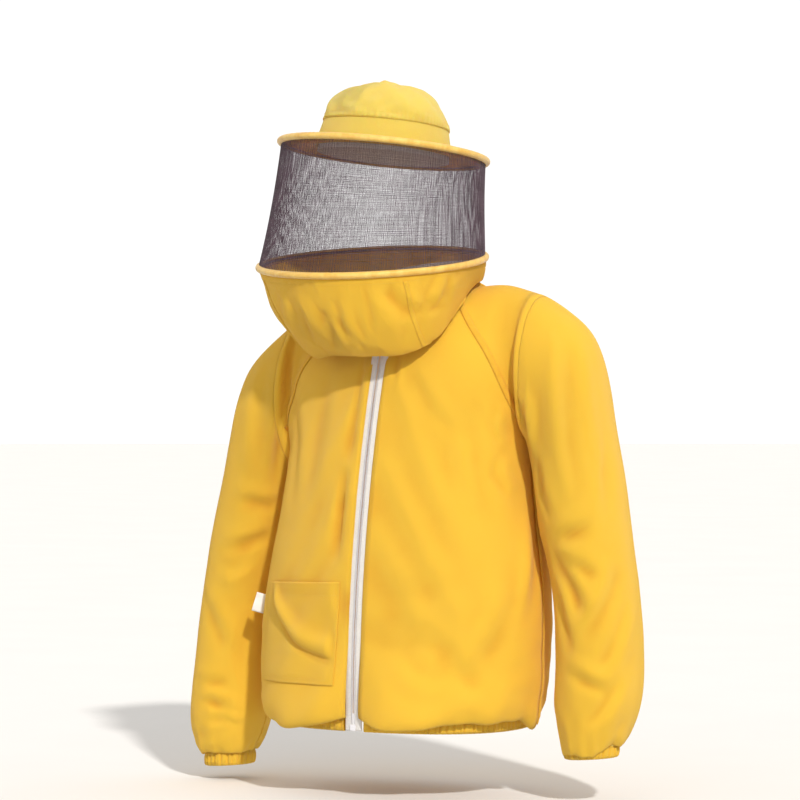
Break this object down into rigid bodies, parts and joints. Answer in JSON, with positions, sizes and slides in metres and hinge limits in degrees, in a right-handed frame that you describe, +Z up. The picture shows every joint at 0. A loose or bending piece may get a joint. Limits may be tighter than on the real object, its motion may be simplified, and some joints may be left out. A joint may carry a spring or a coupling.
{
  "type": "beekeeping suit jacket with hooded veil",
  "caption": "Zip-front cotton beekeeping jacket with raglan sleeves, elastic hem and cuffs, and a zip-on hood: neck skirt, hooped net veil and brimmed cloth hat.",
  "frame": {"origin": "middle of the neckline seat, at the base of the wearer's neck", "axes": "+Z up, -Y towards the front of the jacket, +X towards the wearer's left"},
  "size_m": [0.7922, 0.3845, 1.0771],
  "materials": {
    "drill": "matt yellow cotton drill",
    "hat_cotton": "paler, slightly smoother yellow cotton",
    "zip_tape": "woven white tape",
    "zip_coil": "white nylon coil",
    "veil_net": "fine black netting",
    "elastic": "ribbed elastic webbing",
    "hoop_wire": "bare spring wire",
    "slider_metal": "bright plated metal",
    "label_satin": "blank white satin"
  },
  "bodies": {
    "jacket": {"front_left_panel": "drill", "front_right_panel": "drill", "back_panel": "drill", "left_raglan_shoulder": "drill", "right_raglan_shoulder": "drill", "hem_casing": "drill", "hem_elastic": "elastic", "left_zip_tape": "zip_tape", "left_zip_coil": "zip_coil", "right_zip_tape": "zip_tape", "right_zip_coil": "zip_coil", "zip_bottom_box": "zip_coil", "collar_stand": "drill", "collar_zip_tape": "zip_tape", "collar_zip_coil": "zip_coil", "patch_pocket": "drill", "side_label": "label_satin"},
    "front_slider": {"front_zip_slider": "slider_metal"},
    "front_pull": {"front_zip_pull": "slider_metal"},
    "hood_slider": {"hood_zip_slider": "slider_metal"},
    "hood_pull": {"hood_zip_pull": "slider_metal"},
    "hood": {"hood_zip_coil": "zip_coil", "hood_zip_tape": "zip_tape", "neck_skirt_front": "drill", "neck_skirt_left": "drill", "neck_skirt_back": "drill", "neck_skirt_right": "drill", "lower_hoop_binding": "drill", "lower_hoop_wire": "hoop_wire", "net_veil": "veil_net"},
    "hat": {"brim_hoop_binding": "hat_cotton", "brim_hoop_wire": "hoop_wire", "brim": "hat_cotton", "crown_side": "hat_cotton", "crown_top": "hat_cotton", "sweatband": "elastic"},
    "left_arm": {"left_sleeve": "drill", "left_cuff_casing": "drill", "left_cuff_elastic": "elastic"},
    "right_arm": {"right_sleeve": "drill", "right_cuff_casing": "drill", "right_cuff_elastic": "elastic"}
  },
  "joints": [
    {"name": "front_zip_travel", "type": "hinge", "parent": "jacket", "child": "front_slider", "pos_m": [-0.02236, 1.70675, -0.49689], "axis": [0.999, 0, -0.045], "range_deg": [0, 18.5]},
    {"name": "front_pull_swing", "type": "hinge", "parent": "front_slider", "child": "front_pull", "pos_m": [-0.00175, -0.10511, -0.03887], "axis": [-0.999, 0, 0.045], "range_deg": [0, 165]},
    {"name": "hood_zip_travel", "type": "hinge", "parent": "jacket", "child": "hood_slider", "pos_m": [0, 0, 0.005], "axis": [-0.0683, -0.2074, 0.9759], "range_deg": [0, 326]},
    {"name": "hood_pull_swing", "type": "hinge", "parent": "hood_slider", "child": "hood_pull", "pos_m": [0.02475, -0.09493, 0.00961], "axis": [0.0683, 0.2074, -0.9759], "range_deg": [0, 25]},
    {"name": "hood_throw_back", "type": "hinge", "parent": "jacket", "child": "hood", "pos_m": [0, 0.122, 0.03], "axis": [-1, 0, 0], "range_deg": [0, 165]},
    {"name": "hat_press_down", "type": "slide", "parent": "hood", "child": "hat", "axis": [-0.0504, 0.0343, -0.9981], "range_m": [0, 0.12], "deforming": ["net_veil"]},
    {"name": "left_arm_swing", "type": "hinge", "parent": "jacket", "child": "left_arm", "pos_m": [0.2108, 0.0141, -0.1], "axis": [-0.999, 0, 0.045], "range_deg": [-20, 50]},
    {"name": "right_arm_swing", "type": "hinge", "parent": "jacket", "child": "right_arm", "pos_m": [-0.2212, 0.0141, -0.13], "axis": [-0.999, 0, 0.045], "range_deg": [-20, 50]}
  ]
}
